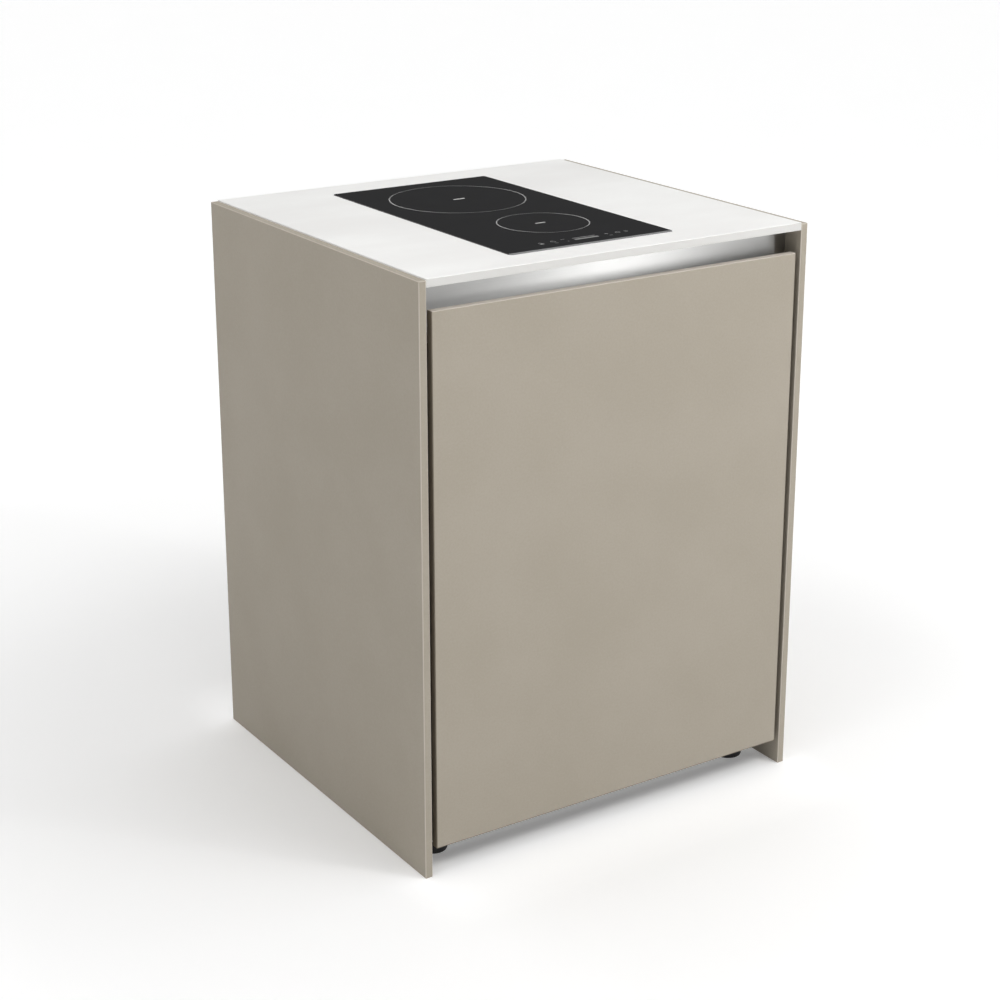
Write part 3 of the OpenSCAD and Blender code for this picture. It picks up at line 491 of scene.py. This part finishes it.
for corner, body in (("front_left", "foot_fl"), ("front_right", "foot_fr"),
                     ("rear_left", "foot_rl"), ("rear_right", "foot_rr")):
    low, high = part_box("foot_" + corner)
    under = Matrix.Translation(((low[0] + high[0]) / 2, (low[1] + high[1]) / 2, low[2]))
    foot = joined("foot_%s_full" % corner, [copied(part, under) for part in (pad, stud, nut)])
    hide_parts("foot_" + corner)
    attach(foot, body)
for part in (pad, stud, nut):
    bpy.data.objects.remove(part)

# Side panels, front and back: boards with a matt greige lacquer, which is faintly mottled
# like fine stone. Their bevelled edges and the front's top face are painted lighter, a painted
# highlight, and the front's sides and foot are painted darker, a painted shade. The panels are
# screwed to the cabinet from inside.
EDGE_HIGHLIGHT_WIDTH, SHADED = 0.0014, 0.0012


def at_edges(finish, name, width):
    """1 along the edges of a board that is a CAD node, and 0 elsewhere."""
    low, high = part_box(name)
    x, y, z = [(b - a) / 2 - abs(along - (a + b) / 2)
               for along, a, b in zip(finish.axes(finish.place()), low, high)]
    return ((x & y) | ((x | y) & z)).smooth(width, width * 0.5)


for name in ("side_panel_left", "side_panel_right", "front_panel", "back_panel"):
    greige = Finish("greige_" + name, {"Specular IOR Level": 0.3})
    clouds = greige.noise(greige.place(), 7.0, 3.0, 0.5)
    speckle = greige.noise(greige.place(), 300.0, 3.0, 0.6)
    lacquer = greige.mix((clouds * 0.5 + speckle * 0.5).smooth(0.30, 0.70),
                         rgb(161, 153, 139), rgb(167, 159, 146))
    # Painted highlight: the bevelled edges are painted lighter.
    painted_edge_highlight = at_edges(greige, name, EDGE_HIGHLIGHT_WIDTH)
    if name == "front_panel":
        (_, _, bottom), (half, _, top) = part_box(name)
        x, _, z = greige.axes(greige.place())
        # Painted shade: the front's side faces and bottom face are painted darker.
        shaded = ((abs(x) - half) | (bottom - z)).smooth(-SHADED - 0.0004, -SHADED)
        lacquer = greige.mix(shaded, lacquer, rgb(112, 103, 90))
        # The painted highlight also covers the front's top face.
        painted_edge_highlight = (painted_edge_highlight & (1 - shaded)) | (z - top).smooth(-0.0003, -0.0001)
    greige.feed("Base Color", greige.mix(painted_edge_highlight, lacquer, rgb(196, 188, 177)))
    greige.feed("Roughness", 0.52 + speckle * 0.12)
    greige.emboss(speckle, 0.00003, 0.4)
    greige.on(node[name])

# Shield under the hob: a sheet of raw fibre cement, which doesn't burn, between the hob and
# the boxes. It lies on the two cleats and is open behind for the hob's cable.
cement = Finish("fibre_cement", {"Roughness": 0.85})
mottle = cement.noise(cement.place(), 60.0, 6.0, 0.65)
cement.feed("Base Color", cement.mix(mottle.smooth(0.3, 0.7), rgb(150, 149, 144),
                                     rgb(178, 177, 171)))
cement.emboss(mottle, 0.0003, 0.5)
cement.on(node["hob_shield"])

# Worktop: a honed white slab between the side panels, with a faint drifting veil in it.
# Its front edge is sawn and left matt, and its colour is painted a little darker there as painted
# shade.
slab = Finish("white_slab", {"Specular IOR Level": 0.35})
veil = slab.noise(slab.place((1.0, 2.2, 1.0)), 3.0, 5.0, 0.6)
dust = slab.noise(slab.place(), 700.0, 2.0, 0.5)
# Painted shade: the front edge is painted darker.
painted_edge_shade = (slab.axes(slab.place())[1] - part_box("worktop")[0][1]).smooth(0.0003, 0.0002)
face = slab.mix((veil * 0.8 + dust * 0.2).smooth(0.35, 0.7), rgb(240, 239, 237), rgb(247, 247, 245))
slab.feed("Base Color", slab.mix(painted_edge_shade, face, rgb(209, 208, 205)))
slab.feed("Roughness", 0.36 + veil * 0.1)
slab.on(node["worktop"])

# Finger channel: one folded stainless sheet under the worktop, brushed along its
# length, so that it smears what it mirrors upwards and downwards.
brushed = Finish("brushed_steel", {"Metallic": 1.0, "Anisotropic": 0.96,
                                   "Anisotropic Rotation": 0.25})
lines = brushed.noise(brushed.place((3, 900, 900)), 1.0, 3.0, 0.7)
wide = brushed.noise(brushed.place((1, 60, 60)), 1.0, 2.0, 0.5)
brushed.feed("Base Color", brushed.mix(lines * 0.6 + wide * 0.4, rgb(182, 182, 181),
                                       rgb(200, 200, 199)))
brushed.feed("Roughness", 0.32 + lines * 0.12)
brushed.emboss(lines, 0.00002, 0.3)
brushed.on(node["finger_channel"])


# Hob inside: an aluminium plate on posts, which carries ferrite bars, mica carriers, coils
# of enamelled wire and ceramic sensors. Boards with green solder mask, an aluminium heat
# sink and a nylon terminal share the casing with it.
def plain_grain(name, constants, dark, light, scale, *names):
    """A material with a fine grain between two tones, put on CAD nodes."""
    made = Finish(name, constants)
    tone = made.noise(made.place(), scale, 3.0, 0.6)
    made.feed("Base Color", made.mix(tone.smooth(0.35, 0.65), dark, light))
    made.on(*[node[n] for n in names])


plain_grain("mill_aluminium", {"Metallic": 1.0, "Roughness": 0.38}, rgb(190, 192, 194),
            rgb(214, 215, 216), 90.0, "coil_plate", "heat_sink")
plain_grain("pressed_mica", {"Roughness": 0.6}, rgb(170, 160, 132), rgb(205, 196, 168), 160.0,
            "coil_carriers")
plain_grain("sintered_ferrite", {"Roughness": 0.7}, rgb(40, 40, 43), rgb(60, 60, 63), 300.0,
            "ferrite_bars")
plain_grain("enamelled_copper", {"Metallic": 1.0, "Roughness": 0.35}, rgb(160, 92, 54),
            rgb(196, 118, 74), 220.0, "coil_rear", "coil_front")
plain_grain("glazed_ceramic", {"Roughness": 0.25}, rgb(222, 220, 212), rgb(238, 236, 230), 80.0,
            "temperature_sensors")
plain_grain("solder_mask", {"Roughness": 0.35}, rgb(14, 74, 38), rgb(22, 96, 50), 120.0,
            "power_board", "touch_board")
plain_grain("component_sleeve", {"Roughness": 0.3}, rgb(24, 30, 66), rgb(34, 42, 88), 90.0,
            "board_components")
plain_grain("white_terminal", {"Roughness": 0.45}, rgb(218, 217, 212), rgb(236, 235, 231), 120.0,
            "terminal_block")

# Hob glass: black glass ceramic, polished above, with enamel marks fired on: a ring of
# dots and a short bar for each zone, and the touch fields' signs along the front.
# The places of the marks are in millimetres from the glass's left front corner.
REAR_RING, FRONT_RING = (147.0, 374.0, 108.0), (160.0, 153.5, 69.8)
DOT_R, DOT_PITCH, LINE, EDGE = 1.15, 3.4, 0.9, 0.12
ceran = Finish("black_glass_ceramic", {"Specular IOR Level": 0.5})
(glass_left, glass_front, _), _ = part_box("hob_glass")
u, v, _ = ceran.axes(ceran.place((1000, 1000, 1000), (glass_left, glass_front, 0)))


def inked(distance):
    """1 where a distance in millimetres is below 0."""
    return distance.smooth(EDGE, -EDGE)


def from_point(at_u, at_v):
    du, dv = u - at_u, v - at_v
    return (du * du + dv * dv) ** 0.5


def dotted_ring(at_u, at_v, radius):
    dots = round(2 * math.pi * radius / DOT_PITCH)
    angle = ceran.node("ShaderNodeMath", {"operation": "ARCTAN2"}, [v - at_v, u - at_u])
    along = ((angle * (dots / (2 * math.pi))) % 1 - 0.5) * DOT_PITCH
    off = from_point(at_u, at_v) - radius
    swell = 0.58 + 0.42 * (((u - at_u) / radius) ** 2)
    return inked((off * off + along * along) ** 0.5 - swell * DOT_R)


def bar(at_u, at_v, width, height):
    return inked((abs(u - at_u) - width / 2) | (abs(v - at_v) - height / 2))


def circle(at_u, at_v, radius):
    return inked(abs(from_point(at_u, at_v) - radius) - LINE / 2)


zones = (dotted_ring(*REAR_RING) | dotted_ring(*FRONT_RING)
         | bar(REAR_RING[0] + 2, REAR_RING[1] - 1, 20.5, 4.2)
         | bar(FRONT_RING[0] - 5, FRONT_RING[1], 17.5, 3.4))
lock = circle(75, 36.5, 2.6) | bar(75, 31.5, 6.5, 4.5)
power = circle(97, 36, 3.6) | bar(97, 39.5, 1, 4) | bar(97, 26, 6, 1)
less = bar(117, 41, 7, 1.2) | bar(118, 27, 2.2, 1.4)
slider = bar(153, 39, 40, 2.2) | bar(153, 31, 42, 5.5)
more = bar(193, 38, 7, 1.2) | bar(193, 38, 1.2, 7) | bar(194, 27, 6, 1)
clock = circle(213, 37, 3.6) | bar(213, 38.4, 0.9, 3) | bar(214.2, 37, 3, 0.9)
pause = bar(226.6, 37, 1.4, 6.5) | bar(229.4, 37, 1.4, 6.5)
signs = lock | power | less | slider | more | clock | pause
haze = ceran.noise(ceran.place(), 30.0, 3.0, 0.5)
black = ceran.mix(haze, rgb(34, 34, 35), rgb(40, 40, 41))
inked_zones = ceran.mix(zones, black, rgb(214, 214, 212))
ceran.feed("Base Color", ceran.mix(signs, inked_zones, rgb(136, 136, 135)))
ceran.feed("Roughness", 0.10 + haze * 0.05 + (zones | signs) * 0.3)
ceran.on(node["hob_glass"])

# Boxes: oiled oak boards. The grain runs along each wall, and across the bases. The
# corners are held by glued dowels, whose end grain shows at the outer faces. A ribbed
# rubber mat lies loose on each base.
DOWEL_R, DOWEL_PROUD, DOWEL_IN, DOWEL_L = 0.0040, 0.0001, 0.0060, 0.008
DOWEL_SHARES = (0.08, 0.55, 0.90)
MAT_T, MAT_CORNER, MAT_GAP, MAT_RIB = 0.0014, 0.0080, 0.0030, 0.004
WALL_T, GROOVE = 0.012, 0.0050


def oiled_oak(name, wall_inside=None):
    """Grain along X; where a wall stands beyond wall_inside, along Y."""
    oak = Finish(name, {})

    def along(stretch):
        """Growth rings as soft bands, and the fine dark pores between them."""
        figure = oak.noise(oak.place([0.5 * k for k in stretch], (2, 1, 3)), 1.0, 1.0, 0.4)
        rings = abs((figure * 16) % 1 - 0.5).smooth(0.0, 0.5)
        fibres = oak.noise(oak.place([28 * k for k in stretch]), 1.0, 3.0, 0.6)
        pores = oak.noise(oak.place([(12 if k < 5 else 50) * k for k in stretch]), 1.0, 1.0, 0.5)
        return (rings * 0.4 + fibres * 0.6, pores.smooth(0.62, 0.72))

    grain, pores = along((1.6, 22, 22))
    if wall_inside:
        side = (abs(oak.axes(oak.place())[0]) - wall_inside).smooth(-0.0003, -0.0002)
        side_grain, side_pores = along((22, 1.6, 22))
        grain = grain * (1 - side) + side_grain * side
        pores = pores * (1 - side) + side_pores * side
    wood = oak.mix(grain.smooth(0.2, 0.8), rgb(186, 158, 121), rgb(210, 186, 151))
    oak.feed("Base Color", oak.mix(pores * 0.6, wood, rgb(140, 110, 78)))
    oak.feed("Roughness", 0.40 + grain * 0.18)
    oak.emboss(grain - pores * 0.5, 0.00010, 0.5)
    return oak


_, box_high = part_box("lower_box_walls")
_, base_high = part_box("lower_box_base")
oiled_oak("oak_walls", base_high[0] - GROOVE).on(node["lower_box_walls"], node["upper_box_walls"])
oiled_oak("oak_base").on(node["lower_box_base"], node["upper_box_base"])
end_grain = Finish("oak_end_grain", {"Roughness": 0.6})
vessels = end_grain.noise(end_grain.place(), 1400.0, 3.0, 0.6)
end_grain.feed("Base Color", end_grain.mix(vessels, rgb(132, 104, 74), rgb(168, 140, 104)))
end_grain.emboss(vessels, 0.0001, 0.5)
dowel = lathe("dowel", [(0, DOWEL_PROUD), (DOWEL_R * 0.9, DOWEL_PROUD), (DOWEL_R, 0.0),
                        (DOWEL_R, -DOWEL_L), (0, -DOWEL_L)], 16)
rubber = Finish("mat_rubber", {"Roughness": 0.75})
ribs = abs((rubber.axes(rubber.place())[1] / MAT_RIB) % 1 - 0.5).smooth(0.1, 0.4)
lint = rubber.noise(rubber.place(), 400.0, 2.0, 0.5)
rubber.feed("Base Color", rubber.mix(lint, rgb(92, 90, 86), rgb(110, 108, 103)))
rubber.emboss(ribs, 0.0006, 0.7)
for box in ("lower_box", "upper_box"):
    low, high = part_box(box + "_walls")
    floor_low, floor_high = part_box(box + "_base")
    pegs = []
    for side in (-1, 1):
        outward = Matrix.Rotation(side * math.pi / 2, 4, "Y")
        for y in (low[1] + DOWEL_IN, high[1] - DOWEL_IN):
            for share in DOWEL_SHARES:
                at = (side * high[0], y, low[2] + share * (high[2] - low[2]))
                pegs.append(copied(dowel, Matrix.Translation(at) @ outward))
    pegs = joined(box + "_dowels", pegs)
    end_grain.on(pegs)
    mat = block(box + "_mat", (floor_low[0] + GROOVE + MAT_GAP, floor_low[1] + GROOVE + MAT_GAP,
                               floor_high[2]),
                (floor_high[0] - GROOVE - MAT_GAP, high[1] - WALL_T - MAT_GAP,
                 floor_high[2] + MAT_T))
    bpy.ops.object.mode_set(mode="EDIT")
    bpy.ops.mesh.select_mode(type="EDGE")
    bpy.ops.mesh.select_all(action="DESELECT")
    cage = bmesh.from_edit_mesh(mat.data)
    for edge in cage.edges:
        edge.select = abs(edge.verts[0].co.z - edge.verts[1].co.z) > MAT_T / 2
    bmesh.update_edit_mesh(mat.data)
    bpy.ops.mesh.bevel(offset=MAT_CORNER, segments=6)
    bpy.ops.object.mode_set(mode="OBJECT")
    finish_with(mat, "BEVEL", width=0.0004, segments=2, limit_method="ANGLE")
    rubber.on(mat)
    for piece, slot in ((pegs, "oak_board"), (mat, "black_plastic")):
        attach(piece, "pull_out")
bpy.data.objects.remove(dowel)

# Runner stops: a moulded block clipped into the front end of each inner member, which
# the middle member's web meets when the pull-out closes.
STOP_LENGTH, STOP_HEIGHT, STOP_DEPTH = 0.0150, 0.0210, 0.0055
STOP_IN, STOP_EASE, WEB_T, WEB_GAP = 0.002, 0.0012, 0.0012, 0.0001
stops = []
for name in ("lower_runner_inners", "upper_runner_inners"):
    low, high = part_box(name)
    middle = (low[2] + high[2]) / 2
    for side in (-1, 1):
        inner = side * (box_high[0] + WEB_T + WEB_GAP)
        outer = inner + side * STOP_DEPTH
        near = low[1] + STOP_IN
        stop = block("stop", (min(inner, outer), near, middle - STOP_HEIGHT / 2),
                     (max(inner, outer), near + STOP_LENGTH, middle + STOP_HEIGHT / 2))
        finish_with(stop, "BEVEL", width=STOP_EASE, segments=3)
        stops.append(stop)
stops = joined("runner_stops", stops)
smooth_faces(stops)
moulding.on(stops)
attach(stops, "pull_out")
